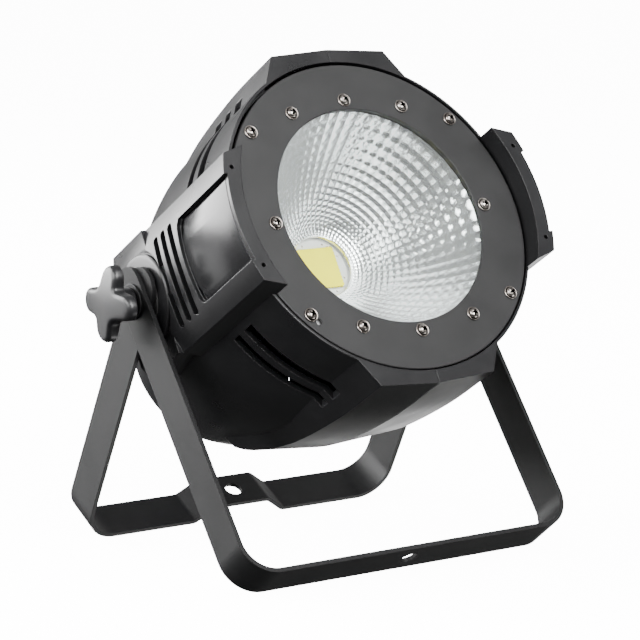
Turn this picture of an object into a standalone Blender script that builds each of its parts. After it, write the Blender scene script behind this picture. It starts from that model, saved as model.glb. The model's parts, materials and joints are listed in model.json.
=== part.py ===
"""A par can stage light on a double yoke, as an assembly of separate pieces.

Lengths are in metres and +Z is up. The object stands on the floor at z = 0 on its two yoke brackets,
opened like an A, and shines towards -Y. The can's pieces are modelled in the can's own frame, whose
origin is on the tilt axis: X along that axis, Y up across the can and Z forward along the beam.
"""

import math

import bmesh
import bpy
from mathutils import Matrix, Vector

# Driving dimensions -----------------------------------------------------------------------------

AIM = math.radians(31)  # how far the beam points above the horizon
FRONT_LEAN = math.radians(37)  # the front bracket's legs from the vertical
GAP = 0.0003  # between pieces that touch
PIVOT_Y = 0.00615  # puts the middle of the whole object over the origin

# The yoke brackets: bent from one strip width
STRIP_WIDTH = 0.030
STRIP = 0.003
FRONT_HALF = 0.131  # half the width over the front bracket's legs
FRONT_LEG = 0.210  # from the tilt axis to the outside of the base
REAR_HALF = 0.1276
REAR_LEG = 0.193
BEND_R = 0.021  # inside radius of the bends
LEG_TOP = 0.0092  # from the tilt axis to the centre of the leg's round end
BOLT_HOLE_R = 0.0063
STUD_R = 0.004
STUD_HOLE_R = 0.0044
JOGGLE = 0.011  # how far the rear bracket's middle is raised
JOGGLE_FLAT = 0.022  # half the length of the raised stretch
JOGGLE_FOOT = 0.037

# The can, measured from the tilt axis along the beam to the bezel's face
FRONT = 0.115
BEAM_DROP = 0.003  # the beam axis runs this far below the tilt axis
SHELL_DROP = 0.0015  # and the housing's own axis this far below it
BEZEL_R = 0.110
BEZEL_THICK = 0.0025
APERTURE_R = 0.077
SHELL_R = 0.1136
LIP_R = 0.1122
CAVITY_R = 0.1098
BELL_START = 0.100  # behind the bezel, where the shell starts to close in
BELL_REACH = 0.250
BELL_POWER = 1.5
SHELL_LENGTH = 0.243
SHELL_WALL = 0.0038
TURN_STEPS = 48

# The two flat-topped ridges, over and under the shell, as (behind the bezel, corner, crest) heights
RIDGE_HALF = 0.045
RIDGE_FOOT = (0.058, 0.095)
RIDGE = (
    (0.000, 0.1180, 0.1210),
    (0.045, 0.1180, 0.1210),
    (0.075, 0.1160, 0.1192),
    (0.107, 0.1122, 0.1155),
    (0.125, 0.1085, 0.1120),
    (0.147, 0.1025, 0.1062),
    (0.170, 0.0935, 0.0970),
    (0.183, 0.0860, 0.0885),
)

# The side blocks and the ears at their front
BLOCK_R = 0.1239
BLOCK_HALF = 0.0443
BLOCK_FOOT = (0.098, 0.0494)
BLOCK_ROOT = 0.080
BLOCK_REAR = 0.099  # behind the bezel, where the curved side ends
EAR = 0.015  # how far the ears stand in front of the bezel
EAR_R = 0.1112
EAR_HOLE = (0.1128, 0.0342)
EAR_HOLE_R = 0.0015
PAD_X = 0.1195
PAD_REAR = 0.148
RECESS_R = 0.1212
RECESS_HALF = 0.0300
RECESS_REAR = 0.053
POCKET_R = 0.1190
POCKET_FRONT = 0.012
PANEL_TOP = 0.0275  # the insert stops short of the recess's upper edge

# Openings in the shell. Vents: middle behind the bezel, half width, first and last angle from the horizontal
VENTS = ((0.0415, 0.0050, 28, 64.5), (0.0570, 0.0040, 28, 64.5))
HOOD_VENT = (0.0720, 0.0050, 61.5, 64.5)
SIDE_SLOTS = (0.0602, 0.0703, 0.0805)
SIDE_SLOT_WIDTH = 0.0058
SIDE_SLOT_HALF = 0.032
SIDE_SLOT_BOW = 0.146  # radius of the slots' bow

# The pivot
BOSS_R = 0.029
BOSS_X = 0.1229
INSERT_R = 0.007
KNOB_BACK = 0.1445
KNOB_FACE = 0.154
KNOB_LOBE_R = 0.0085
KNOB_LOBES = ((58, 0.0210), (135.5, 0.0180), (238, 0.0210), (315.5, 0.0180))
KNOB_VALLEYS = ((97, 0.0150), (187, 0.0125), (277, 0.0150), (7, 0.0125))
KNOB_HUB_R = 0.0095

# Fixings on the bezel: (radius, angle from +X)
BEZEL_SCREWS = [(0.0835, math.radians(a)) for a in (0, 90, 180, 270)]
BEZEL_SCREWS += [(0.0882, math.radians(a)) for a in (60, 120, 240, 300)]
BEZEL_SCREWS += [(0.1028, math.radians(a)) for a in (39, 141, 219, 321)]
SCREW_HOLE_R = 0.0023

# Inside, as distances behind the bezel's face
GLASS = (0.0028, 0.0058)
GLASS_R = 0.0788
GASKET_R = 0.0800
REFLECTOR_TOP = 0.0062
REFLECTOR_DEPTH = 0.080
REFLECTOR_MOUTH = 0.0212
COB_FACE = 0.0870
SINK_FRONT = 0.0885
SINK_REAR = 0.146
FAN = (0.148, 0.168)
COVER_FACE = 0.2455
COVER_R = 0.0612

REAR_LEAN = math.acos(
    (FRONT_LEG * math.cos(FRONT_LEAN) + STRIP_WIDTH / 2 * math.sin(FRONT_LEAN))
    / math.hypot(REAR_LEG, STRIP_WIDTH / 2)
) + math.atan(STRIP_WIDTH / 2 / REAR_LEG)
PIVOT_Z = FRONT_LEG * math.cos(FRONT_LEAN) + STRIP_WIDTH / 2 * math.sin(FRONT_LEAN)

COLORS = {
    "cast_black": ((0.020, 0.020, 0.022), 0.34, 0.0),
    "panel_black": ((0.030, 0.030, 0.032), 0.22, 0.0),
    "bezel_black": ((0.034, 0.034, 0.035), 0.50, 0.0),
    "yoke_black": ((0.030, 0.030, 0.031), 0.42, 0.0),
    "knob_black": ((0.018, 0.018, 0.019), 0.28, 0.0),
    "steel": ((0.62, 0.60, 0.56), 0.25, 1.0),
    "reflector_metal": ((0.90, 0.91, 0.92), 0.12, 1.0),
    "glass": ((0.95, 0.97, 0.97), 0.03, 0.0),
    "ceramic_white": ((0.86, 0.86, 0.84), 0.45, 0.0),
    "phosphor": ((0.95, 0.85, 0.12), 0.55, 0.0),
    "aluminium": ((0.72, 0.73, 0.74), 0.38, 1.0),
    "plastic_black": ((0.022, 0.022, 0.023), 0.45, 0.0),
    "board_green": ((0.03, 0.16, 0.07), 0.50, 0.0),
    "display": ((0.015, 0.03, 0.05), 0.12, 0.0),
    "socket_blue": ((0.03, 0.10, 0.42), 0.40, 0.0),
    "rubber": ((0.025, 0.025, 0.025), 0.80, 0.0),
    "brass": ((0.70, 0.52, 0.24), 0.32, 1.0),
}


# Scene helpers ----------------------------------------------------------------------------------


def clear_scene():
    for obj in list(bpy.data.objects):
        bpy.data.objects.remove(obj, do_unlink=True)


def new_collection(name):
    made = bpy.data.collections.new(name)
    bpy.context.scene.collection.children.link(made)
    return made


def material(name):
    made = bpy.data.materials.get(name)
    if made:
        return made
    color, roughness, metallic = COLORS[name]
    made = bpy.data.materials.new(name)
    made.use_nodes = True
    shader = made.node_tree.nodes["Principled BSDF"]
    shader.inputs["Base Color"].default_value = (*color, 1.0)
    shader.inputs["Roughness"].default_value = roughness
    shader.inputs["Metallic"].default_value = metallic
    return made


def place(obj, parent, location=(0, 0, 0), rotation=(0, 0, 0)):
    obj.parent = parent
    obj.location = location
    obj.rotation_euler = rotation


def add(name, mesh, parent, location=(0, 0, 0), rotation=(0, 0, 0), slot=None):
    """A visible piece when it has a material slot, and a hidden cutter when it has none."""
    obj = bpy.data.objects.new(name, mesh)
    (PIECES if slot else CUTTERS).objects.link(obj)
    place(obj, parent, location, rotation)
    if slot:
        mesh.materials.clear()
        mesh.materials.append(material(slot))
    else:
        obj.hide_render = True
        obj.display_type = "WIRE"
    return obj


def evaluated_mesh(obj):
    bpy.context.view_layer.update()
    graph = bpy.context.evaluated_depsgraph_get()
    return bpy.data.meshes.new_from_object(obj.evaluated_get(graph), depsgraph=graph)


def boolean(obj, other, operation="DIFFERENCE", solver="EXACT"):
    modifier = obj.modifiers.new(other.name, "BOOLEAN")
    modifier.operation = operation
    modifier.object = other
    modifier.solver = solver
    return obj


def cut(obj, *cutters):
    for cutter in cutters:
        boolean(obj, cutter)
    return obj


def join(obj, *others, solver="EXACT"):
    for other in others:
        boolean(obj, other, "UNION", solver)
    return obj


def shade(mesh, angle=35):
    mesh.shade_smooth()
    mesh.set_sharp_from_angle(angle=math.radians(angle))


# Shapes -----------------------------------------------------------------------------------------


def box_mesh(low, high):
    bm = bmesh.new()
    bmesh.ops.create_cube(bm, size=1.0)
    low, high = Vector(low), Vector(high)
    scale = Matrix.Diagonal((*(high - low), 1.0))
    bmesh.ops.transform(bm, matrix=Matrix.Translation((low + high) / 2) @ scale, verts=bm.verts)
    return to_mesh(bm, "box")


def rod_mesh(radius, low, high, sides=24, axis="Z", top_radius=None):
    """A cylinder or cone along an axis, from low to high."""
    bm = bmesh.new()
    bmesh.ops.create_cone(
        bm,
        cap_ends=True,
        segments=sides,
        radius1=radius,
        radius2=radius if top_radius is None else top_radius,
        depth=high - low,
        matrix=Matrix.Translation((0, 0, (low + high) / 2)),
    )
    if axis == "X":
        bmesh.ops.rotate(bm, matrix=Matrix.Rotation(math.pi / 2, 3, "Y"), verts=bm.verts)
    return to_mesh(bm, "rod")


def to_mesh(bm, name):
    mesh = bpy.data.meshes.new(name)
    bm.to_mesh(mesh)
    bm.free()
    shade(mesh)
    return mesh


def hull_mesh(points):
    bm = bmesh.new()
    for point in points:
        bm.verts.new(point)
    bmesh.ops.convex_hull(bm, input=bm.verts)
    bmesh.ops.delete(bm, geom=[v for v in bm.verts if not v.link_faces], context="VERTS")
    bmesh.ops.dissolve_limit(bm, angle_limit=0.0005, verts=bm.verts, edges=bm.edges)
    bmesh.ops.recalc_face_normals(bm, faces=bm.faces)
    return to_mesh(bm, "hull")


def turned_mesh(profile, steps=TURN_STEPS, closed=True):
    """A profile of (radius, z) turned about Z: down its outer side, and back up inside when it is a ring."""
    mesh = bpy.data.meshes.new("profile")
    edges = [(i, i + 1) for i in range(len(profile) - 1)]
    if closed:
        edges.append((len(profile) - 1, 0))
    mesh.from_pydata([(r, 0.0, z) for r, z in profile], edges, [])
    obj = bpy.data.objects.new("profile", mesh)
    CUTTERS.objects.link(obj)
    modifier = obj.modifiers.new("turn", "SCREW")
    modifier.axis = "Z"
    modifier.steps = modifier.render_steps = steps
    modifier.use_merge_vertices = True
    modifier.merge_threshold = 0.00001
    turned = evaluated_mesh(obj)
    bpy.data.objects.remove(obj, do_unlink=True)
    shade(turned)
    return turned


def plate_mesh(outlines, low, high):
    """Flat outlines in XY, the first one solid and the rest holes, given a thickness along Z."""
    curve = bpy.data.curves.new("plate", "CURVE")
    curve.dimensions = "2D"
    curve.fill_mode = "BOTH"
    curve.extrude = (high - low) / 2
    for outline in outlines:
        spline = curve.splines.new("POLY")
        spline.points.add(len(outline) - 1)
        for point, (x, y) in zip(spline.points, outline):
            point.co = (x, y, 0.0, 1.0)
        spline.use_cyclic_u = True
    obj = bpy.data.objects.new("plate", curve)
    CUTTERS.objects.link(obj)
    mesh = evaluated_mesh(obj)
    bpy.data.objects.remove(obj, do_unlink=True)
    bm = bmesh.new()
    bm.from_mesh(mesh)
    bmesh.ops.remove_doubles(bm, verts=bm.verts, dist=0.00001)
    bmesh.ops.translate(bm, verts=bm.verts, vec=(0, 0, (low + high) / 2))
    bmesh.ops.recalc_face_normals(bm, faces=bm.faces)
    bm.to_mesh(mesh)
    bm.free()
    shade(mesh)
    return mesh


def circle(radius, count=24, centre=(0.0, 0.0)):
    turn = 2 * math.pi / count
    return [
        (centre[0] + radius * math.cos(i * turn), centre[1] + radius * math.sin(i * turn))
        for i in range(count)
    ]


def arc(radius, start, end, count, centre=(0.0, 0.0)):
    step = (end - start) / (count - 1)
    return [
        (centre[0] + radius * math.cos(start + i * step), centre[1] + radius * math.sin(start + i * step))
        for i in range(count)
    ]


def mirrored_x(points):
    return [(-x, y) for x, y in points]


def strip_outline(path, thickness):
    """The outline of a bent strip from the points along its middle, mitred at each point."""
    points = [Vector(p) for p in path]
    sides = ([], [])
    for i, point in enumerate(points):
        before = (point - points[max(i - 1, 0)]).normalized()
        after = (points[min(i + 1, len(points) - 1)] - point).normalized()
        along = (before + after).normalized()
        normal = Vector((-along.y, along.x))
        across = (Vector((-after.y, after.x)), Vector((-before.y, before.x)))
        reach = thickness / 2 / max(normal.dot(across[0]), normal.dot(across[1]))
        sides[0].append(tuple(point + normal * reach))
        sides[1].append(tuple(point - normal * reach))
    return sides[0] + sides[1][::-1]


# The yoke ---------------------------------------------------------------------------------------


def yoke_path(half, leg, joggle):
    """Half of a bracket's middle line and its mirror image, as (across, down from the tilt axis)."""
    middle = half - STRIP / 2
    base = leg - STRIP / 2
    bend = BEND_R + STRIP / 2
    side = [(middle, -0.030)]
    side += arc(bend, 0, math.pi / 2, 7, (middle - bend, base - bend))
    if joggle:
        side += [(JOGGLE_FOOT, base), (JOGGLE_FLAT, base - joggle)]
    return side + mirrored_x(side)[::-1]


def yoke_bracket(name, parent, half, leg, joggle=0.0):
    """A U of strip in the plane of X and the legs, trimmed to round leg ends, with its holes."""
    bent = plate_mesh([strip_outline(yoke_path(half, leg, joggle), STRIP)], -0.030, 0.030)
    bracket = add(name, bent, parent, rotation=(0, 0, 0), slot="yoke_black")
    round_end = [(y, -x - LEG_TOP) for x, y in arc(STRIP_WIDTH / 2, -math.pi / 2, math.pi / 2, 13)]
    foot = leg + 0.010
    trim_outline = round_end + [(STRIP_WIDTH / 2, foot), (-STRIP_WIDTH / 2, foot)]
    trim = add(f"{name}_trim", plate_mesh([trim_outline], -0.2, 0.2), parent, rotation=(0, math.pi / 2, 0))
    # The trim's outline is drawn as (across the strip, down the leg), so it is turned to face along X.
    trim.matrix_local = Matrix(((0, 0, 1, 0), (0, 1, 0, 0), (-1, 0, 0, 0), (0, 0, 0, 1)))
    boolean(bracket, trim, "INTERSECT")
    bore = add(f"{name}_stud_bore", rod_mesh(STUD_HOLE_R, -0.2, 0.2, 14, "X"), parent)
    bolt = rod_mesh(BOLT_HOLE_R, -0.03, 0.03, 20)
    turned = Matrix.Rotation(math.pi / 2, 4, "X")
    bolt.transform(turned)
    hole = add(f"{name}_bolt_bore", bolt, parent, location=(0, leg - STRIP / 2 - joggle, 0))
    return cut(bracket, bore, hole)


def yoke_frame(name, lean):
    """An empty on the tilt axis whose X is the axis and whose Y runs down the bracket's legs."""
    empty = bpy.data.objects.new(name, None)
    PIECES.objects.link(empty)
    empty.location = (0, PIVOT_Y, PIVOT_Z)
    empty.rotation_euler = (-math.pi / 2 - lean, 0, 0)
    return empty


# The can ----------------------------------------------------------------------------------------


def shell_radius(behind):
    """The shell's outer radius at a distance behind the bezel's face."""
    if behind <= BELL_START:
        return SHELL_R
    return SHELL_R * (1 - ((behind - BELL_START) / BELL_REACH) ** BELL_POWER)


def bell_stations(count=6):
    step = (SHELL_LENGTH - BELL_START) / count
    return [BELL_START + i * step for i in range(count + 1)]


def shell_body():
    """The turned outside of the housing, solid, with the ridges and side blocks joined on."""
    profile = [(0.0, FRONT), (SHELL_R - 0.0008, FRONT), (SHELL_R, FRONT - 0.0008)]
    profile += [(shell_radius(b), FRONT - b) for b in bell_stations()]
    profile += [(0.0, FRONT - SHELL_LENGTH)]
    body = add("shell_body", turned_mesh(profile, closed=False), CAN, (0, -SHELL_DROP, 0))
    for side in (1, -1):
        join(body, add(f"ridge_{side}", hull_mesh(ridge_points(side, 0.0)), CAN, (0, -SHELL_DROP, 0)))
        join(body, side_block(side), side_pad(side), pivot_boss(side))
    return body


def ridge_points(side, inset):
    points = []
    for behind, corner, crest in RIDGE:
        z = FRONT - behind - (inset if behind == 0 else 0) + (inset if behind == RIDGE[-1][0] else 0)
        drop = RIDGE_FOOT[1] - RIDGE[0][1]
        for x_side in (1, -1):
            half = RIDGE_HALF - inset * 0.6
            points.append((x_side * half, side * (corner - inset), z))
            points.append((x_side * (RIDGE_FOOT[0] - inset * 1.2), side * (corner + drop), z))
            points.append((x_side * half * 0.6, side * 0.060, z))
        points.append((0.0, side * (crest - inset), z))
    return points


def block_outline(side):
    angle = math.asin(BLOCK_HALF / BLOCK_R)
    points = arc(BLOCK_R, -angle, angle, 9)
    points += [BLOCK_FOOT, (BLOCK_ROOT, BLOCK_FOOT[1]), (BLOCK_ROOT, -BLOCK_FOOT[1])]
    points += [(BLOCK_FOOT[0], -BLOCK_FOOT[1])]
    return points if side > 0 else mirrored_x(points)[::-1]


def side_block(side):
    mesh = plate_mesh([block_outline(side)], FRONT - BLOCK_REAR, FRONT + EAR)
    block = add(f"block_{side}", mesh, CAN, (0, -SHELL_DROP, 0))
    clearance = rod_mesh(BOSS_R + 0.002, PAD_X, PAD_X + 0.02, 32)
    return cut(block, add(f"boss_clearance_{side}", clearance, CAN, rotation=(0, side * math.pi / 2, 0)))


def side_pad(side):
    """The flat stretch behind the curved side, that carries the pivot."""
    front, rear = FRONT - BLOCK_REAR + 0.001, FRONT - PAD_REAR
    outline = [
        (front, BLOCK_HALF),
        (front, -BLOCK_HALF),
        (rear + 0.007, -BLOCK_HALF),
        (rear, -BLOCK_HALF + 0.011),
        (rear, BLOCK_HALF - 0.011),
        (rear + 0.007, BLOCK_HALF),
    ]
    pad = plate_mesh([outline], 0.070, PAD_X)
    # The outline is drawn as (along the beam, up), and its thickness runs out to the side.
    pad.transform(Matrix(((0, 0, side, 0), (0, 1, 0, 0), (1, 0, 0, 0), (0, 0, 0, 1))))
    face_out(pad)
    return add(f"pad_{side}", pad, CAN, (0, -SHELL_DROP, 0))


def face_out(mesh):
    bm = bmesh.new()
    bm.from_mesh(mesh)
    bmesh.ops.recalc_face_normals(bm, faces=bm.faces)
    bm.to_mesh(mesh)
    bm.free()


def pivot_boss(side):
    edge = 0.0016
    profile = [(0.0, BOSS_X), (BOSS_R - edge, BOSS_X), (BOSS_R, BOSS_X - edge), (BOSS_R, 0.098), (0.0, 0.098)]
    mesh = turned_mesh(profile, 32, closed=False)
    mesh.transform(Matrix.Rotation(side * math.pi / 2, 4, "Y"))
    return add(f"boss_{side}", mesh, CAN)


def shell_cavity():
    """Everything inside the housing's wall, and the lip that the bezel sits in."""
    profile = [(0.0, FRONT + 0.03), (EAR_R, FRONT + 0.03), (EAR_R, FRONT + GAP), (LIP_R, FRONT + GAP)]
    profile += [(LIP_R, FRONT - 0.010), (CAVITY_R, FRONT - 0.010)]
    profile += [(shell_radius(b) - SHELL_WALL, FRONT - b) for b in bell_stations()[:-1]]
    mouth, end = COVER_R + 0.0003, FRONT - SHELL_LENGTH
    profile += [(mouth, end + 0.004), (mouth, end - 0.02)]
    profile += [(0.0, FRONT - SHELL_LENGTH - 0.02)]
    return add("shell_cavity", turned_mesh(profile, closed=False), CAN, (0, -SHELL_DROP, 0))


def block_pocket(side):
    low, high = sorted((side * 0.095, side * 0.1135))
    mesh = box_mesh((low, -0.038, FRONT - 0.088), (high, 0.038, FRONT - 0.008))
    return add(f"block_pocket_{side}", mesh, CAN, (0, -SHELL_DROP, 0))


def sector(inner, outer, half_angle, centre_angle, count=5):
    """An arc-shaped outline between two radii."""
    start, end = centre_angle - half_angle, centre_angle + half_angle
    return arc(outer, start, end, count) + arc(inner, end, start, count)


def vent_cutters():
    """Two long slots round each quarter of the shell, and a third opening in each side of the upper ridge."""
    cutters = []
    for quarter in range(4):
        slots = list(VENTS) + ([HOOD_VENT] if quarter < 2 else [])
        for number, (behind, half, start, end) in enumerate(slots):
            middle = math.radians(start + end) / 2
            centre = (middle, math.pi - middle, math.pi + middle, -middle)[quarter]
            outline = sector(0.100, 0.135, math.radians(end - start) / 2, centre)
            mesh = plate_mesh([outline], FRONT - behind - half, FRONT - behind + half)
            cutters.append(add(f"slot_{quarter}_{number}", mesh, CAN, (0, -SHELL_DROP, 0)))
    return cutters


def side_slot_cutters(side):
    """Three bowed slots in front of the pivot boss."""
    angle = math.asin(SIDE_SLOT_HALF / SIDE_SLOT_BOW)
    cutters = []
    for number, behind in enumerate(SIDE_SLOTS):
        centre = (FRONT - behind - SIDE_SLOT_BOW, 0)
        outline = arc(SIDE_SLOT_BOW + SIDE_SLOT_WIDTH / 2, -angle, angle, 9, centre)
        outline += arc(SIDE_SLOT_BOW - SIDE_SLOT_WIDTH / 2, angle, -angle, 9, centre)
        mesh = plate_mesh([outline], 0.108, 0.130)
        mesh.transform(Matrix(((0, 0, side, 0), (0, 1, 0, 0), (1, 0, 0, 0), (0, 0, 0, 1))))
        face_out(mesh)
        cutters.append(add(f"side_slot_{side}_{number}", mesh, CAN, (0, -SHELL_DROP, 0)))
    return cutters


def recess_outline(radius, half, side):
    """The side recess seen along the beam: outside a radius, between two heights."""
    angle = math.asin(half / radius)
    inner = arc(radius, -angle, angle, 9)
    points = inner + [(0.140, half), (0.140, -half)]
    return points if side > 0 else mirrored_x(points)[::-1]


def recess_cutters(side):
    shallow = plate_mesh([recess_outline(RECESS_R, RECESS_HALF, side)], FRONT - RECESS_REAR, FRONT + 0.03)
    deep = plate_mesh(
        [recess_outline(POCKET_R, RECESS_HALF - 0.0004, side)],
        FRONT - RECESS_REAR + 0.0004,
        FRONT + POCKET_FRONT,
    )
    return [
        add(f"recess_{side}", shallow, CAN, (0, -SHELL_DROP, 0)),
        add(f"panel_pocket_{side}", deep, CAN, (0, -SHELL_DROP, 0)),
    ]


def housing_halves():
    body = shell_body()
    cutters = [shell_cavity()]
    for side in (1, -1):
        hollow = hull_mesh(ridge_points(side, 0.0045))
        cutters.append(add(f"ridge_hollow_{side}", hollow, CAN, (0, -SHELL_DROP, 0)))
        cutters.append(block_pocket(side))
        cutters += side_slot_cutters(side) + recess_cutters(side)
        bore = rod_mesh(INSERT_R + GAP, 0.080, 0.140, 16, "X")
        cutters.append(add(f"insert_bore_{side}", bore, CAN, rotation=(0, 0, 0 if side > 0 else math.pi)))
        for up in (1, -1):
            hole = rod_mesh(EAR_HOLE_R, FRONT + EAR - 0.009, FRONT + EAR + 0.002, 12)
            at = (side * EAR_HOLE[0], up * EAR_HOLE[1] - SHELL_DROP, 0)
            cutters.append(add(f"ear_hole_{side}_{up}", hole, CAN, at))
    cutters += vent_cutters()
    cut(body, *cutters)
    for name, side in (("housing_left", -1), ("housing_right", 1)):
        half = add(name, evaluated_mesh(body), CAN, (0, -SHELL_DROP, 0), slot="cast_black")
        low, high = sorted((side * GAP / 2, side * 0.3))
        boolean(half, add(f"{name}_side", box_mesh((low, -0.3, -0.3), (high, 0.3, 0.3)), CAN), "INTERSECT")


def side_panel(name, side):
    """The curved insert in the side recess."""
    low = RECESS_HALF - 0.0011
    inner, outer = POCKET_R + GAP, RECESS_R - 0.0002
    outline = arc(outer, -math.asin(low / outer), math.asin(PANEL_TOP / outer), 7)
    outline += arc(inner, math.asin(PANEL_TOP / inner), -math.asin(low / inner), 7)
    if side < 0:
        outline = mirrored_x(outline)[::-1]
    mesh = plate_mesh([outline], FRONT - RECESS_REAR + 0.0012, FRONT + POCKET_FRONT - GAP)
    add(name, mesh, CAN, (0, -SHELL_DROP, 0), slot="panel_black")


def beam_piece(name, mesh, slot, behind=0.0, rotation=(0, 0, 0)):
    """A piece centred on the beam axis, measured back from the bezel's face."""
    return add(name, mesh, CAN, (0, -BEAM_DROP, FRONT - behind), rotation, slot)


def screw_points():
    return [(r * math.cos(a), r * math.sin(a)) for r, a in BEZEL_SCREWS]


def front_bezel():
    outlines = [circle(BEZEL_R, 56), circle(APERTURE_R, 48)]
    outlines += [circle(SCREW_HOLE_R, 8, at) for at in screw_points()]
    beam_piece("front_bezel", plate_mesh(outlines, -BEZEL_THICK, 0.0), "bezel_black")


def clamp_ring():
    """The ring behind the bezel that its screws bite in."""
    outlines = [circle(0.1083, 36), circle(GASKET_R + GAP, 36)]
    outlines += [circle(SCREW_HOLE_R, 8, at) for at in screw_points()]
    beam_piece("clamp_ring", plate_mesh(outlines, -0.0085, -GLASS[0]), "aluminium")


def bezel_screws():
    """Pan-head screws with their washers, turned as one piece each."""
    head = [(0.0, 0.0032), (0.0024, 0.0029), (0.0039, 0.0014), (0.0047, 0.0009)]
    shank = [(0.0047, GAP), (0.0020, GAP), (0.0020, -0.0075), (0.0, -0.0075)]
    mesh = turned_mesh(head + shank, 10, closed=False)
    for number, (x, y) in enumerate(screw_points(), 1):
        add(f"bezel_screw_{number:02d}", mesh, CAN, (x, y - BEAM_DROP, FRONT), slot="steel")


def reflector_profile():
    """The bowl's inner line from its mouth to its rim, a parabola stretched to both radii."""
    points = []
    for i in range(7):
        t = i / 6
        radius = REFLECTOR_MOUTH + (APERTURE_R + 0.0006 - REFLECTOR_MOUTH) * t
        depth = REFLECTOR_DEPTH * t**1.55
        points.append((radius, -COB_FACE + 0.0012 + depth))
    return points


def reflector():
    inner = reflector_profile()
    rim = -REFLECTOR_TOP
    outer = [(r + 0.0014, z - 0.0006) for r, z in inner]
    outline = [(GASKET_R, rim), (GASKET_R, rim - 0.0014)] + outer[::-1][1:] + inner[:-1]
    outline.append((APERTURE_R + 0.0006, rim))
    beam_piece("reflector", turned_mesh(outline, 36), "reflector_metal")


def lamp():
    """Glass, gasket, LED and its holder."""
    beam_piece("front_glass", rod_mesh(GLASS_R, -GLASS[1], -GLASS[0], 36), "glass")
    inner = GLASS_R + GAP
    gasket = [(GASKET_R, -GLASS[0]), (GASKET_R, -GLASS[1]), (inner, -GLASS[1]), (inner, -GLASS[0])]
    beam_piece("glass_gasket", turned_mesh(gasket, 36), "rubber")
    plate = box_mesh((-0.014, -0.014, -0.0006), (0.014, 0.014, 0.0006))
    beam_piece("led_cob", plate, "ceramic_white", COB_FACE + 0.0007)
    phosphor = box_mesh((-0.0128, -0.0128, 0.0), (0.0128, 0.0128, 0.0009))
    beam_piece("led_phosphor", phosphor, "phosphor", COB_FACE - GAP)
    square = [(0.0143, 0.0143), (-0.0143, 0.0143), (-0.0143, -0.0143), (0.0143, -0.0143)]
    holder = plate_mesh([circle(0.0290, 40), square], -0.0013, 0.0)
    beam_piece("cob_holder", holder, "ceramic_white", COB_FACE - 0.0001)


def heat_sink():
    """A round base with straight radial fins behind it."""
    fins, root, tip, half = 22, 0.020, 0.056, 0.0011
    outline = []
    for i in range(fins):
        angle = 2 * math.pi * i / fins
        along, across = (math.cos(angle), math.sin(angle)), (-math.sin(angle), math.cos(angle))
        for reach, side in ((root, -1), (tip, -1), (tip, 1), (root, 1)):
            outline.append(tuple(along[k] * reach + across[k] * half * side for k in (0, 1)))
    sink = beam_piece("heat_sink", plate_mesh([outline], -SINK_REAR, -SINK_FRONT - 0.004), "aluminium")
    disc = rod_mesh(0.060, -SINK_FRONT - 0.0075, -SINK_FRONT, 44)
    base = add("sink_base", disc, CAN, (0, -BEAM_DROP, FRONT))
    join(sink, base, solver="MANIFOLD")


def fan():
    """A square frame with a hub plate on arms, and a seven-bladed rotor in front of it."""
    half, corner, duct = 0.040, 0.005, 0.0375
    centre = half - corner
    outline = []
    for k, (x, y) in enumerate(((1, 1), (-1, 1), (-1, -1), (1, -1))):
        outline += arc(corner, k * math.pi / 2, (k + 1) * math.pi / 2, 4, (x * centre, y * centre))
    plate = plate_mesh([outline, circle(duct, 40)], -FAN[1], -FAN[0])
    frame = beam_piece("fan_frame", plate, "plastic_black")
    hub = add("fan_hub", rod_mesh(0.0165, 0.0003 - FAN[1], 0.0030 - FAN[1], 24), CAN, (0, -BEAM_DROP, FRONT))
    join(frame, hub, solver="MANIFOLD")
    for k in range(4):
        arm = box_mesh((0.012, -0.002, 0.0006 - FAN[1]), (duct + 0.001, 0.002, 0.0026 - FAN[1]))
        turn = math.radians(40 + 90 * k)
        arm = add(f"fan_arm_{k}", arm, CAN, (0, -BEAM_DROP, FRONT), (0, 0, turn))
        join(frame, arm, solver="MANIFOLD")
    middle = (FAN[0] + FAN[1]) / 2 - 0.0012
    rotor = beam_piece("fan_rotor", rod_mesh(0.0165, -0.0075, 0.0075, 24), "plastic_black", middle)
    for k in range(7):
        blade = box_mesh((0.014, -0.0008, -0.0075), (0.0362, 0.0008, 0.0075))
        blade.transform(Matrix.Rotation(math.radians(42), 4, "X"))
        turn = 2 * math.pi * k / 7
        at = (0, -BEAM_DROP, FRONT - (FAN[0] + FAN[1]) / 2 + 0.0012)
        join(rotor, add(f"fan_blade_{k}", blade, CAN, at, (0, 0, turn)))


def sink_mounts():
    """Angle brackets from the heat sink's base out to the pivot bosses."""
    for name, side in (("sink_mount_left", -1), ("sink_mount_right", 1)):
        outline = [(0.0603, 0.0), (0.0600, -0.003), (0.0950, -0.003)]
        outline += [(0.0950, -0.022), (0.0980, -0.022), (0.0980, 0.0)]
        mesh = plate_mesh([outline], -0.016, 0.016)
        mesh.transform(Matrix(((side, 0, 0, 0), (0, 0, 1, 0), (0, 1, 0, 0), (0, 0, 0, 1))))
        face_out(mesh)
        beam_piece(name, mesh, "steel", SINK_FRONT + 0.001)


def electronics():
    driver = box_mesh((-0.042, -0.022, -0.011), (0.042, 0.022, 0.011))
    beam_piece("led_driver", driver, "aluminium", 0.186)
    board = box_mesh((-0.040, 0.008, -0.0008), (0.040, 0.046, 0.0008))
    beam_piece("control_board", board, "board_green", 0.2380)


# The rear cover and what it carries -------------------------------------------------------------

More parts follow.
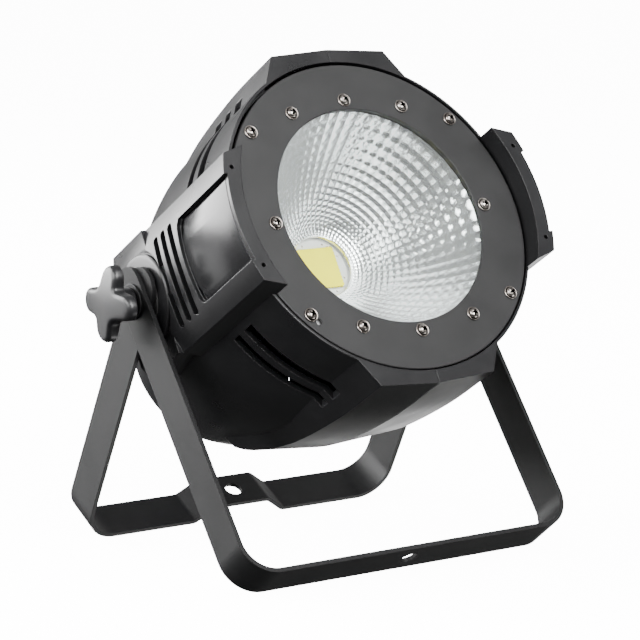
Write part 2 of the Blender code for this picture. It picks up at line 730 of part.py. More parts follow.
BUTTON_Y = 0.016
BUTTON_PITCH = 0.0145
BUTTON_R = 0.0042
WINDOW = (0.023, 0.008)
WINDOW_Y = 0.0335
SOCKETS = (
    ("dmx_in_socket", -0.0200, -0.0100, "plastic_black"),
    ("dmx_out_socket", 0.0200, -0.0100, "plastic_black"),
    ("power_in_socket", -0.0200, -0.0380, "socket_blue"),
    ("power_out_socket", 0.0200, -0.0380, "ceramic_white"),
)
SOCKET_R = 0.0105
SOCKET_BORE_R = 0.0085
FUSE = (0.0, -0.0240)
EYELET_Y = 0.0515


def rear_piece(name, mesh, slot, x=0.0, y=0.0):
    """A piece drawn with its outside towards +Z, set on the rear cover's outer face."""
    return add(name, mesh, CAN, (x, y - SHELL_DROP, FRONT - COVER_FACE), (0, math.pi, 0), slot)


def button_places():
    return [((i - 1.5) * BUTTON_PITCH, BUTTON_Y) for i in range(4)]


def rear_cover():
    outlines = [circle(COVER_R, 40)]
    width, height = WINDOW[0] + GAP, WINDOW[1] + GAP
    corners = ((1, 1), (-1, 1), (-1, -1), (1, -1))
    outlines.append([(x * width, WINDOW_Y + y * height) for x, y in corners])
    outlines += [circle(BUTTON_R + GAP, 12, at) for at in button_places()]
    outlines += [circle(SOCKET_R + GAP, 18, (-x, y)) for _, x, y, _ in SOCKETS]
    outlines.append(circle(0.0062 + GAP, 14, FUSE))
    outlines += [circle(0.0018, 6, at) for at in cover_screw_places()]
    outlines += [circle(0.0018, 6, (x, EYELET_Y)) for x in (-0.0065, 0.0065)]
    rear_piece("rear_cover", plate_mesh(outlines, -0.003, 0.0), "cast_black")


def cover_screw_places():
    return [(0.0565 * math.cos(a), 0.0565 * math.sin(a)) for a in map(math.radians, (20, 160, 205, 335))]


def cover_screws():
    profile = [(0.0, 0.0020), (0.0018, 0.0018), (0.0028, 0.0010), (0.0029, GAP)]
    profile += [(0.0014, GAP), (0.0014, -0.006), (0.0, -0.006)]
    mesh = turned_mesh(profile, 8, closed=False)
    for number, (x, y) in enumerate(cover_screw_places(), 1):
        rear_piece(f"rear_cover_screw_{number}", mesh, "steel", -x, y)


def rear_controls():
    width, height = WINDOW
    window = box_mesh((-width, -height, -0.0025), (width, height, 0.0006))
    rear_piece("display_window", window, "display", 0, WINDOW_Y)
    profile = [(0.0, 0.0024), (BUTTON_R - 0.0006, 0.0024), (BUTTON_R, 0.0018)]
    profile += [(BUTTON_R, -0.0045), (0.0, -0.0045)]
    mesh = turned_mesh(profile, 12, closed=False)
    for number, (x, y) in enumerate(button_places(), 1):
        rear_piece(f"menu_button_{number}", mesh, "rubber", -x, y)


def rear_sockets():
    """Round chassis sockets: a flange outside, a barrel through the cover and a blind bore for the plug."""
    flange, lip = SOCKET_R + 0.0015, 0.0022
    profile = [
        (flange, lip),
        (flange, GAP),
        (SOCKET_R, GAP),
        (SOCKET_R, -0.016),
        (0.0, -0.016),
        (0.0, -0.012),
        (SOCKET_BORE_R, -0.012),
        (SOCKET_BORE_R, lip),
    ]
    for name, x, y, slot in SOCKETS:
        mesh = turned_mesh(profile, 18, closed=True)
        weld(mesh)
        rear_piece(name, mesh, slot, x, y)


def weld(mesh):
    bm = bmesh.new()
    bm.from_mesh(mesh)
    bmesh.ops.remove_doubles(bm, verts=bm.verts, dist=0.00001)
    bmesh.ops.dissolve_degenerate(bm, edges=bm.edges, dist=0.000001)
    loose = [e for e in bm.edges if not e.link_faces]
    bmesh.ops.delete(bm, geom=loose, context="EDGES")
    bmesh.ops.recalc_face_normals(bm, faces=bm.faces)
    bm.to_mesh(mesh)
    bm.free()


def fuse():
    holder = [(0.0078, 0.0016), (0.0078, GAP), (0.0062, GAP), (0.0062, -0.016)]
    holder += [(0.0043, -0.016), (0.0043, 0.0016)]
    rear_piece("fuse_holder", turned_mesh(holder, 14), "plastic_black", *FUSE)
    cap = [(0.0, 0.0062), (0.0058, 0.0062), (0.0062, 0.0056), (0.0062, 0.0019)]
    cap += [(0.0040, 0.0019), (0.0040, -0.012), (0.0, -0.012)]
    piece = rear_piece("fuse_cap", turned_mesh(cap, 14, closed=False), "plastic_black", *FUSE)
    slot = add("fuse_slot", box_mesh((-0.0045, -0.0006, 0.0052), (0.0045, 0.0006, 0.008)), CAN)
    slot.location = piece.location
    slot.rotation_euler = piece.rotation_euler
    cut(piece, slot)


def safety_eyelet():
    """A bent wire loop for the safety cable, its two legs through the cover."""
    curve = bpy.data.curves.new("eyelet", "CURVE")
    curve.dimensions = "3D"
    curve.bevel_depth = 0.0015
    curve.bevel_resolution = 2
    curve.use_fill_caps = True
    spline = curve.splines.new("POLY")
    points = [(0.0065, -0.006), (0.0065, 0.005)]
    points += arc(0.0065, 0, math.pi, 9, (0, 0.0055))[1:-1]
    points += [(-0.0065, 0.005), (-0.0065, -0.006)]
    spline.points.add(len(points) - 1)
    for point, (x, z) in zip(spline.points, points):
        point.co = (x, 0, z, 1)
    obj = bpy.data.objects.new("eyelet", curve)
    CUTTERS.objects.link(obj)
    mesh = evaluated_mesh(obj)
    bpy.data.objects.remove(obj, do_unlink=True)
    weld(mesh)
    shade(mesh)
    rear_piece("safety_eyelet", mesh, "steel", 0, EYELET_Y)


# The pivots and knobs ---------------------------------------------------------------------------


def pivot_piece(name, mesh, slot, side):
    """A piece on the tilt axis drawn with its outside towards +Z, turned to face out on one side."""
    return add(name, mesh, CAN, rotation=(0, side * math.pi / 2, 0), slot=slot)


def pivots():
    for name, side in (("left", -1), ("right", 1)):
        bore = STUD_R + GAP
        insert = [(INSERT_R, BOSS_X - GAP), (INSERT_R, 0.101), (bore, 0.101), (bore, BOSS_X - GAP)]
        pivot_piece(f"pivot_insert_{name}", turned_mesh(insert, 16), "brass", side)
        inner = REAR_HALF - STRIP
        pad = [(0.020, inner - GAP), (0.020, BOSS_X + GAP), (bore, BOSS_X + GAP), (bore, inner - GAP)]
        pivot_piece(f"friction_washer_{name}", turned_mesh(pad, 24), "rubber", side)
        washer = [(0.0120, 0.1325), (0.0120, FRONT_HALF + GAP), (bore, FRONT_HALF + GAP), (bore, 0.1325)]
        pivot_piece(f"washer_{name}", turned_mesh(washer, 20), "steel", side)
        knob(f"knob_{name}", side)


def knob(name, side):
    """A four-lobed grip, a hub and the threaded stud."""
    outline = []
    for lobe, (degrees, at) in enumerate(KNOB_LOBES):
        angle = math.radians(degrees)
        centre = (at * math.cos(angle), at * math.sin(angle))
        outline += arc(KNOB_LOBE_R, angle - math.radians(75), angle + math.radians(75), 7, centre)
        degrees, depth = KNOB_VALLEYS[lobe]
        valley = math.radians(degrees)
        outline.append((depth * math.cos(valley), depth * math.sin(valley)))
    grip = plate_mesh([outline], KNOB_BACK, KNOB_FACE)
    # The lobes are laid out from +Y (rearwards) towards +Z of the world, the same on both sides.
    grip.transform(Matrix.Rotation(math.pi / 2, 4, "Z"))
    piece = pivot_piece(name, grip, "knob_black", side)
    hub = [(0.0, KNOB_BACK + 0.004), (KNOB_HUB_R + 0.002, KNOB_BACK + 0.004)]
    hub += [(KNOB_HUB_R, 0.1345), (KNOB_HUB_R, 0.1328)]
    hub += [(STUD_R, 0.1328), (STUD_R, 0.1045), (0.0, 0.1045)]
    stem = add(f"{name}_stem", turned_mesh(hub, 16, closed=False), CAN, rotation=(0, side * math.pi / 2, 0))
    join(piece, stem)


# The assembly -----------------------------------------------------------------------------------

clear_scene()
PIECES = new_collection("par_can_light")
CUTTERS = new_collection("cutters")
CAN = bpy.data.objects.new("can_on_tilt_axis", None)
PIECES.objects.link(CAN)
CAN.location = (0, PIVOT_Y, PIVOT_Z)
CAN.rotation_euler = (math.pi / 2 - AIM, 0, 0)

yoke_bracket("front_bracket", yoke_frame("front_bracket_on_tilt_axis", FRONT_LEAN), FRONT_HALF, FRONT_LEG)
yoke_bracket("rear_bracket", yoke_frame("rear_bracket_on_tilt_axis", -REAR_LEAN), REAR_HALF, REAR_LEG, JOGGLE)
housing_halves()
side_panel("side_panel_left", -1)
side_panel("side_panel_right", 1)
front_bezel()
clamp_ring()
bezel_screws()
reflector()
lamp()
heat_sink()
sink_mounts()
fan()
electronics()
rear_cover()
cover_screws()
rear_controls()
rear_sockets()
fuse()
safety_eyelet()
pivots()
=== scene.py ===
import json
import math

import bmesh
import bpy
from mathutils import Matrix, Vector


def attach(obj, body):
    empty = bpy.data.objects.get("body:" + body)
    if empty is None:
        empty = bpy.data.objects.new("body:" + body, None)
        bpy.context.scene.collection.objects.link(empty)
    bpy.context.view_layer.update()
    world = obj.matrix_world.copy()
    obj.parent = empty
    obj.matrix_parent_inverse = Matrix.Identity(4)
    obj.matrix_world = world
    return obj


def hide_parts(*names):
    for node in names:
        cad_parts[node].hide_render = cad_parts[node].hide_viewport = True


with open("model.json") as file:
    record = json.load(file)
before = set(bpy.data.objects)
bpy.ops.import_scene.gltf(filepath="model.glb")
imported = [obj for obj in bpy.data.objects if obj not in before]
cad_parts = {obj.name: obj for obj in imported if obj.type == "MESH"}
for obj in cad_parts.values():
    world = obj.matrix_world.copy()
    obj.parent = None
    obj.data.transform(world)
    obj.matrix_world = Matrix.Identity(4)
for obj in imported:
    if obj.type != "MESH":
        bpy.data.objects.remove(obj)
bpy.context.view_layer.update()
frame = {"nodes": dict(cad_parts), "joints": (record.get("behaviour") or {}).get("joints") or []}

# The part's own dimensions, in metres ------------------------------------------------------------

AIM = math.radians(31)
FRONT_LEAN = math.radians(37)
STRIP_WIDTH = 0.030
STRIP = 0.003
FRONT_HALF, FRONT_LEG = 0.131, 0.210
REAR_HALF, REAR_LEG = 0.1276, 0.193
BEND_R = 0.021
LEG_TOP = 0.0092
JOGGLE, JOGGLE_FLAT, JOGGLE_FOOT = 0.011, 0.022, 0.037
PIVOT = Vector(next(j for j in frame["joints"] if j["name"] == "can_tilt")["pos_m"])
REAR_LEAN = math.acos(PIVOT.z / math.hypot(REAR_LEG, STRIP_WIDTH / 2)) + math.atan(STRIP_WIDTH / 2 / REAR_LEG)
FRONT = 0.115
BEAM_DROP = 0.0021
SHELL_DROP = 0.0015
SHELL_R, LIP_R, CAVITY_R, EAR_R = 0.1136, 0.1116, 0.1098, 0.1112
BELL_START, BELL_REACH, BELL_POWER = 0.100, 0.250, 1.5
SHELL_LENGTH, SHELL_WALL = 0.243, 0.0038
SEAM_HALF = 0.00015
RIDGE_HALF = 0.045
RIDGE = (
    (0.000, 0.1180, 0.1210),
    (0.045, 0.1180, 0.1210),
    (0.075, 0.1160, 0.1192),
    (0.107, 0.1122, 0.1155),
    (0.125, 0.1085, 0.1120),
    (0.147, 0.1025, 0.1062),
    (0.170, 0.0935, 0.0970),
    (0.183, 0.0860, 0.0885),
)
BLOCK_R, BLOCK_HALF = 0.1239, 0.0443
BLOCK_REAR, EAR = 0.099, 0.015
PAD_X, PAD_REAR = 0.1195, 0.148
RECESS_R, RECESS_HALF, RECESS_REAR = 0.1212, 0.0300, 0.053
POCKET_R, POCKET_FRONT = 0.1190, 0.012
BOSS_R, BOSS_X = 0.0308, 0.1229
COVER_R = 0.0612
# Slots right through the shell: distance behind the front, half width, and the angles they run between.
SHELL_SLOTS = ((0.0415, 0.0050, 28, 64.5), (0.0570, 0.0040, 28, 64.5))
UPPER_SLOT = (0.0720, 0.0050, 61.5, 64.5)
SIDE_SLOTS = (0.0602, 0.0703, 0.0805)
PIVOT_BORE = 0.0073
EAR_HOLE, EAR_HOLE_OUT, EAR_HOLE_UP = 0.0015, 0.1128, 0.0342
SPARE_HOLE, SPARE_AT, SPARE_ANGLE = 0.0023, 0.1026, 222.8
APERTURE_R, BEZEL_R, BEZEL_THICK = 0.077, 0.110, 0.0025
BEZEL_SCREWS = [(0.0835, a) for a in (0, 90, 180, 270)]
BEZEL_SCREWS += [(0.0882, a) for a in (60, 120, 240, 300)]
BEZEL_SCREWS += [(0.1028, a) for a in (39, 141, 219, 321)]
COB_FACE = 0.0850
FACETS_ROUND, FACET_ROWS, FACET_FINE = 64, 19, 4
KNOB_BORE, BOLT_HOLE = 0.0044, 0.0063

CAN = Matrix.Translation(PIVOT) @ Matrix.Rotation(math.pi / 2 - AIM, 4, "X")
SHELL = CAN @ Matrix.Translation((0, -SHELL_DROP, 0))
BEAM = CAN @ Matrix.Translation((0, -BEAM_DROP, FRONT))
SIDES = {
    "left": CAN @ Matrix.Rotation(-math.pi / 2, 4, "Y"),
    "right": CAN @ Matrix.Rotation(math.pi / 2, 4, "Y"),
}


# Materials ---------------------------------------------------------------------------------------


def nodes_of(mat):
    tree = mat.node_tree
    return tree, tree.nodes, tree.links, tree.nodes["Principled BSDF"]


def noise_of(tree, scale, detail=3.0, roughness=0.55, stretch=None):
    """A noise texture on object coordinates, stretched along an axis where asked."""
    where = tree.nodes.new("ShaderNodeTexCoord").outputs["Object"]
    if stretch:
        mapping = tree.nodes.new("ShaderNodeMapping")
        mapping.inputs["Scale"].default_value = stretch
        tree.links.new(where, mapping.inputs["Vector"])
        where = mapping.outputs["Vector"]
    noise = tree.nodes.new("ShaderNodeTexNoise")
    noise.inputs["Scale"].default_value = scale
    noise.inputs["Detail"].default_value = detail
    noise.inputs["Roughness"].default_value = roughness
    tree.links.new(where, noise.inputs["Vector"])
    return noise.outputs["Fac"]


def mapped(tree, value, low, high, to_low, to_high):
    remap = tree.nodes.new("ShaderNodeMapRange")
    for key, number in (("From Min", low), ("From Max", high), ("To Min", to_low), ("To Max", to_high)):
        remap.inputs[key].default_value = number
    tree.links.new(value, remap.inputs["Value"])
    return remap.outputs["Result"]


def mixed(tree, factor, first, second):
    mix = tree.nodes.new("ShaderNodeMix")
    mix.data_type = "RGBA"
    for socket, color in ((mix.inputs[6], first), (mix.inputs[7], second)):
        if isinstance(color, bpy.types.NodeSocket):
            tree.links.new(color, socket)
        else:
            socket.default_value = (*color, 1.0)
    tree.links.new(factor, mix.inputs[0])
    return mix.outputs[2]


def edge_mask(tree, radius):
    """How much a surface turns within a small radius: 1 on outer edges and 0 on flats."""
    bevel = tree.nodes.new("ShaderNodeBevel")
    bevel.samples = 4
    bevel.inputs["Radius"].default_value = radius
    geometry = tree.nodes.new("ShaderNodeNewGeometry")
    dot = tree.nodes.new("ShaderNodeVectorMath")
    dot.operation = "DOT_PRODUCT"
    tree.links.new(bevel.outputs["Normal"], dot.inputs[0])
    tree.links.new(geometry.outputs["Normal"], dot.inputs[1])
    return mapped(tree, dot.outputs["Value"], 0.985, 0.80, 0.0, 1.0), bevel.outputs["Normal"]


def finish_of(
    name,
    color,
    vary,
    rough=(0.30, 0.40),
    metallic=0.0,
    grain=900.0,
    bump=0.05,
    depth=0.0002,
    wear=None,
    edge=0.0,
    specular=0.5,
    coat=0.0,
    coat_rough=0.15,
    stretch=None,
    painted_shade_reach=0.0,
):
    """A painted, moulded or plated finish: a colour that varies, an uneven gloss and a fine relief, and where
    asked, painted shade that darkens the colour in crevices.
    """
    mat = bpy.data.materials.new(name)
    mat.use_nodes = True
    tree, _, links, shader = nodes_of(mat)
    broad = noise_of(tree, 38.0, 4.0, stretch=stretch)
    fine = noise_of(tree, grain, 2.0, stretch=stretch)
    base = mixed(tree, mapped(tree, broad, 0.35, 0.65, 0.0, 1.0), color, vary)
    normal = None
    if edge:
        mask, normal = edge_mask(tree, edge)
        if wear:
            worn = tree.nodes.new("ShaderNodeMath")
            worn.operation = "MULTIPLY"
            links.new(mask, worn.inputs[0])
            links.new(mapped(tree, noise_of(tree, 260.0), 0.50, 0.66, 0.0, 0.8), worn.inputs[1])
            mix = tree.nodes.new("ShaderNodeMix")
            mix.data_type = "RGBA"
            mix.inputs[7].default_value = (*wear, 1.0)
            links.new(worn.outputs[0], mix.inputs[0])
            links.new(base, mix.inputs[6])
            base = mix.outputs[2]
    # Painted shade: where the surface is hemmed in, as in recesses and between close parts, the colour is
    # darkened almost to black.
    if painted_shade_reach:
        shade = tree.nodes.new("ShaderNodeAmbientOcclusion")
        shade.samples = 8
        shade.inputs["Distance"].default_value = painted_shade_reach
        open_share = mapped(tree, shade.outputs["AO"], 0.45, 0.85, 0.0, 1.0)
        base = mixed(tree, open_share, (0.004, 0.004, 0.004), base)
    links.new(base, shader.inputs["Base Color"])
    links.new(mapped(tree, broad, 0.3, 0.7, *rough), shader.inputs["Roughness"])
    shader.inputs["Metallic"].default_value = metallic
    shader.inputs["Specular IOR Level"].default_value = specular
    shader.inputs["Coat Weight"].default_value = coat
    shader.inputs["Coat Roughness"].default_value = coat_rough
    relief = tree.nodes.new("ShaderNodeBump")
    relief.inputs["Strength"].default_value = bump
    relief.inputs["Distance"].default_value = depth
    links.new(fine, relief.inputs["Height"])
    if normal:
        links.new(normal, relief.inputs["Normal"])
    links.new(relief.outputs["Normal"], shader.inputs["Normal"])
    return mat


def glass_of(name):
    """Thin clear glass: mirror reflection by angle over a clear view through it, with faint dust."""
    mat = bpy.data.materials.new(name)
    mat.use_nodes = True
    tree, nodes, links, shader = nodes_of(mat)
    nodes.remove(shader)
    clear = nodes.new("ShaderNodeBsdfTransparent")
    clear.inputs["Color"].default_value = (0.97, 0.985, 0.98, 1.0)
    gloss = nodes.new("ShaderNodeBsdfGlossy")
    links.new(mapped(tree, noise_of(tree, 60.0), 0.4, 0.8, 0.01, 0.05), gloss.inputs["Roughness"])
    fresnel = nodes.new("ShaderNodeFresnel")
    fresnel.inputs["IOR"].default_value = 1.35
    # Light isn't bent by this glass, so only the outward side of each face may reflect.
    outward = nodes.new("ShaderNodeMath")
    outward.operation = "SUBTRACT"
    outward.inputs[0].default_value = 1.0
    links.new(nodes.new("ShaderNodeNewGeometry").outputs["Backfacing"], outward.inputs[1])
    share = nodes.new("ShaderNodeMath")
    share.operation = "MULTIPLY"
    links.new(fresnel.outputs["Fac"], share.inputs[0])
    links.new(outward.outputs[0], share.inputs[1])
    mix = nodes.new("ShaderNodeMixShader")
    links.new(share.outputs[0], mix.inputs["Fac"])
    links.new(clear.outputs[0], mix.inputs[1])
    links.new(gloss.outputs[0], mix.inputs[2])
    links.new(mix.outputs[0], nodes["Material Output"].inputs["Surface"])
    return mat


BLACK = finish_of(
    "cast_black_paint", (0.0105, 0.0105, 0.0115), (0.0135, 0.0135, 0.0145),
    (0.27, 0.34), bump=0.10, depth=0.00008,
    edge=0.0007, wear=(0.030, 0.030, 0.031), specular=0.55
)
PANEL = finish_of(
    "panel_black_gloss", (0.0115, 0.0115, 0.0125), (0.014, 0.014, 0.015),
    (0.20, 0.26), bump=0.05, depth=0.00006,
    edge=0.0006, specular=0.6
)
BEZEL = finish_of(
    "bezel_black_matt", (0.015, 0.015, 0.0155), (0.018, 0.018, 0.0185),
    (0.42, 0.50), bump=0.16, depth=0.00008,
    edge=0.0004, wear=(0.10, 0.10, 0.10), specular=0.5
)
YOKE = finish_of(
    "yoke_black_coat", (0.010, 0.010, 0.0105), (0.014, 0.014, 0.0145), (0.42, 0.52), grain=1500.0, bump=0.22,
    depth=0.00010, edge=0.0006, wear=(0.05, 0.05, 0.05), specular=0.24
)
KNOB = finish_of(
    "knob_black_moulded", (0.0085, 0.0085, 0.0095), (0.012, 0.012, 0.013),
    (0.30, 0.38), bump=0.10, depth=0.00008,
    edge=0.0005, specular=0.7
)
# The nickel's colour is darkened by painted shade in the screws' cross recesses and where heads meet washers.
NICKEL = finish_of(
    "nickel_plate", (0.50, 0.455, 0.42), (0.62, 0.57, 0.53), (0.16, 0.30), 1.0, 1400.0, 0.10, 0.00005,
    edge=0.00025, painted_shade_reach=0.0030
)
ALUMINIUM = finish_of(
    "plain_aluminium", (0.60, 0.61, 0.62), (0.72, 0.73, 0.74), (0.32, 0.46), 1.0, 700.0, 0.2, 0.00008
)
MIRROR = finish_of(
    "bright_reflector", (0.93, 0.94, 0.95), (0.97, 0.975, 0.98), (0.08, 0.14), 0.84, 500.0, 0.06, 0.00005
)
RUBBER = finish_of(
    "black_rubber", (0.012, 0.012, 0.012), (0.020, 0.020, 0.020),
    (0.55, 0.75), bump=0.3, depth=0.0001
)
CERAMIC = finish_of(
    "white_ceramic", (0.80, 0.80, 0.78), (0.88, 0.88, 0.86),
    (0.35, 0.5), bump=0.08, depth=0.00005
)
PLASTIC = finish_of(
    "moulded_black", (0.012, 0.012, 0.013), (0.018, 0.018, 0.019),
    (0.36, 0.5), bump=0.2, depth=0.0001
)
GREY = finish_of(
    "moulded_grey", (0.42, 0.43, 0.43), (0.50, 0.50, 0.50),
    (0.36, 0.5), bump=0.2, depth=0.0001
)
BLUE = finish_of(
    "moulded_blue", (0.015, 0.07, 0.34), (0.02, 0.10, 0.42),
    (0.34, 0.46), bump=0.2, depth=0.0001
)
BOARD = finish_of(
    "board_green_mask", (0.015, 0.11, 0.045), (0.025, 0.16, 0.07),
    (0.35, 0.5), bump=0.2, depth=0.0001
)
BRASS = finish_of(
    "turned_brass", (0.60, 0.42, 0.18), (0.72, 0.54, 0.26),
    (0.22, 0.36), 1.0, 900.0, 0.15, 0.00006
)
GLASS = glass_of("clear_glass")

PHOSPHOR = finish_of(
    "yellow_phosphor", (0.78, 0.71, 0.0), (0.86, 0.78, 0.0),
    (0.45, 0.60), grain=1800.0, bump=0.3, depth=0.00012
)
# Painted light: a faint glow that brightens the phosphor; the LED itself is not switched on.
PHOSPHOR.node_tree.nodes["Principled BSDF"].inputs["Emission Color"].default_value = (1.0, 0.93, 0.0, 1.0)
PHOSPHOR.node_tree.nodes["Principled BSDF"].inputs["Emission Strength"].default_value = 0.35

DISPLAY = finish_of(
    "display_glass", (0.004, 0.006, 0.010), (0.006, 0.009, 0.014),
    (0.05, 0.10), bump=0.01, depth=0.00005
)


# Shapes ------------------------------------------------------------------------------------------


def to_mesh(bm, name):
    mesh = bpy.data.meshes.new(name)
    bm.to_mesh(mesh)
    bm.free()
    return mesh


def shaded(mesh, angle=32):
    mesh.shade_smooth()
    mesh.set_sharp_from_angle(angle=math.radians(angle))
    return mesh


def moved(mesh, *matrices):
    for matrix in matrices:
        mesh.transform(matrix)
    return mesh


def shift(x=0.0, y=0.0, z=0.0):
    return Matrix.Translation((x, y, z))


def turn(degrees, axis):
    return Matrix.Rotation(math.radians(degrees), 4, axis)


def box(low, high):
    bm = bmesh.new()
    bmesh.ops.create_cube(bm, size=1.0)
    low, high = Vector(low), Vector(high)
    place = Matrix.Translation((low + high) / 2) @ Matrix.Diagonal((*(high - low), 1.0))
    bmesh.ops.transform(bm, matrix=place, verts=bm.verts)
    return to_mesh(bm, "box")


def prism(outline, low, high):
    """A closed outline in XY with a thickness along Z. The outline may be concave."""
    bm = bmesh.new()
    bottom = [bm.verts.new((x, y, low)) for x, y in outline]
    face = bm.faces.new(bottom)
    top = bmesh.ops.extrude_face_region(bm, geom=[face])
    verts = [v for v in top["geom"] if isinstance(v, bmesh.types.BMVert)]
    bmesh.ops.translate(bm, verts=verts, vec=(0, 0, high - low))
    bmesh.ops.triangulate(bm, faces=[f for f in bm.faces if len(f.verts) > 4])
    bmesh.ops.recalc_face_normals(bm, faces=bm.faces)
    return to_mesh(bm, "prism")


def lathe(profile, steps=96, closed=False):
    """A profile of (radius, z) turned about Z. It may start and end on the axis, or be a closed ring."""
    bm = bmesh.new()
    rings = []
    for radius, z in profile:
        if radius < 1e-7:
            rings.append([bm.verts.new((0, 0, z))])
        else:
            turns = (2 * math.pi * i / steps for i in range(steps))
            rings.append([bm.verts.new((radius * math.cos(a), radius * math.sin(a), z)) for a in turns])
    pairs = list(zip(rings, rings[1:]))
    if closed:
        pairs.append((rings[-1], rings[0]))
    for a, b in pairs:
        for i in range(steps):
            j = (i + 1) % steps
            if len(a) == 1 and len(b) > 1:
                bm.faces.new((a[0], b[i], b[j]))
            elif len(b) == 1 and len(a) > 1:
                bm.faces.new((a[i], b[0], a[j]))
            elif len(a) > 1 and len(b) > 1:
                bm.faces.new((a[i], b[i], b[j], a[j]))
    bmesh.ops.recalc_face_normals(bm, faces=bm.faces)
    return to_mesh(bm, "lathe")


def loft(sections):
    """Closed sections of the same number of points, joined in order and capped."""
    bm = bmesh.new()
    rings = [[bm.verts.new(p) for p in section] for section in sections]
    count = len(rings[0])
    for a, b in zip(rings, rings[1:]):
        for i in range(count):
            j = (i + 1) % count
            bm.faces.new((a[i], a[j], b[j], b[i]))
    bm.faces.new(rings[0][::-1])
    bm.faces.new(rings[-1])
    bmesh.ops.recalc_face_normals(bm, faces=bm.faces)
    return to_mesh(bm, "loft")


def rod(radius, low, high, steps):
    """A plain cylinder on Z, used to cut round holes."""
    return lathe([(0, low), (radius, low), (radius, high), (0, high)], steps)


def arc(radius, start, end, count, centre=(0.0, 0.0)):
    """Points along an arc, with both ends included."""
    step = (end - start) / max(count - 1, 1)
    angles = [start + i * step for i in range(count)]
    return [(centre[0] + radius * math.cos(a), centre[1] + radius * math.sin(a)) for a in angles]


def rounded_box(half_x, half_y, corner, low, high, segments=6):
    outline = []
    for k, (x, y) in enumerate(((1, 1), (-1, 1), (-1, -1), (1, -1))):
        centre = (x * (half_x - corner), y * (half_y - corner))
        outline += arc(corner, k * math.pi / 2, (k + 1) * math.pi / 2, segments, centre)
    return prism(outline, low, high)


def temp(mesh):
    obj = bpy.data.objects.new("temp", mesh)
    bpy.context.scene.collection.objects.link(obj)
    return obj


def evaluated(obj):
    bpy.context.view_layer.update()
    graph = bpy.context.evaluated_depsgraph_get()
    return bpy.data.meshes.new_from_object(obj.evaluated_get(graph), depsgraph=graph)


def combined(base, others, operation="DIFFERENCE"):
    """The mesh left after each other mesh is taken from it, added to it or kept with it."""
    made = [temp(base)]
    for mesh in others:
        made.append(temp(mesh))
        modifier = made[0].modifiers.new("boolean", "BOOLEAN")
        modifier.operation = operation
        modifier.solver = "MANIFOLD"
        modifier.object = made[-1]
    result = evaluated(made[0])
    for obj in made:
        bpy.data.objects.remove(obj, do_unlink=True)
    return result


def rounded(mesh, width, segments=2, angle=40):
    """Outer and inner edges rounded off."""
    obj = temp(mesh)
    modifier = obj.modifiers.new("bevel", "BEVEL")
    modifier.width = width
    modifier.segments = segments
    modifier.limit_method = "ANGLE"
    modifier.angle_limit = math.radians(angle)
    modifier.use_clamp_overlap = True
    result = evaluated(obj)
    bpy.data.objects.remove(obj, do_unlink=True)
    return result


def merged(*meshes):
    """Several closed shells in one mesh."""
    bm = bmesh.new()
    for mesh in meshes:
        bm.from_mesh(mesh)
    return to_mesh(bm, "merged")


def piece(name, mesh, matrix, body, material, nodes=(), angle=32):
    mesh = mesh.copy()
    mesh.name = name
    mesh.transform(matrix)
    mesh.materials.clear()
    mesh.materials.append(material)
    shaded(mesh, angle)
    obj = bpy.data.objects.new(name, mesh)
    bpy.context.scene.collection.objects.link(obj)
    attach(obj, body)
    if nodes:
        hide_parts(*nodes)
    return obj


# The shell ---------------------------------------------------------------------------------------


def shell_radius(behind):
    if behind <= BELL_START:
        return SHELL_R
    return SHELL_R * (1 - ((behind - BELL_START) / BELL_REACH) ** BELL_POWER)


def bell(count=30):
    return [BELL_START + (SHELL_LENGTH - BELL_START) * i / count for i in range(count + 1)]


def smooth_table(table, at):
    """A Catmull-Rom line through the table's rows, read at one value of its first column."""
    last = len(table) - 1
    i = max(k for k in range(last) if table[k][0] <= at) if at < table[last][0] else last - 1
    p1, p2 = table[i], table[i + 1]
    p0, p3 = table[max(i - 1, 0)], table[min(i + 2, last)]
    t = (at - p1[0]) / (p2[0] - p1[0])
    values = []
    for column in range(1, len(p1)):
        m1 = (p2[column] - p0[column]) / (p2[0] - p0[0]) * (p2[0] - p1[0])
        m2 = (p3[column] - p1[column]) / (p3[0] - p1[0]) * (p2[0] - p1[0])
        a, b = p1[column], p2[column]
        values.append(
            (2 * t**3 - 3 * t**2 + 1) * a
            + (t**3 - 2 * t**2 + t) * m1
            + (3 * t**2 - 2 * t**3) * b
            + (t**3 - t**2) * m2
        )
    return values


def ridge(side, inset=0.0):
    """The flat-topped ridge over or under the shell, lofted along the beam."""
    sections = []
    start, end = inset, RIDGE[-1][0] - inset
    for i in range(37):
        behind = start + (end - start) * i / 36
        corner, crest = smooth_table(RIDGE, behind)
        half = RIDGE_HALF - inset * 0.6
        foot = 0.058 - inset * 1.2
        line = [(foot, corner - 0.023), (half, corner - inset), (0.0, crest - inset), (-half, corner - inset)]
        line += [(-foot, corner - 0.023), (-0.030, 0.055), (0.030, 0.055)]
        sections.append([(x, side * y, FRONT - behind) for x, y in line])
    return loft(sections)


def mirrored(mesh, side):
    """The mesh turned over the plane between the can's sides, with its faces still outwards."""
    if side < 0:
        mesh.transform(Matrix.Diagonal((-1, 1, 1, 1)))
        mesh.flip_normals()
    return mesh


def side_block(side):
    """The curved block on one side, with room cut for the pivot's boss."""
    angle = math.asin(BLOCK_HALF / BLOCK_R)
    outline = arc(BLOCK_R, -angle, angle, 33)
    outline += [(0.098, 0.0494), (0.080, 0.0494), (0.080, -0.0494), (0.098, -0.0494)]
    block = prism(outline, FRONT - BLOCK_REAR, FRONT + EAR)
    clear = moved(rod(BOSS_R + 0.002, PAD_X, 0.14, 96), turn(90, "Y"))
    clear.transform(shift(0, SHELL_DROP, 0))
    return mirrored(combined(block, [clear]), side)


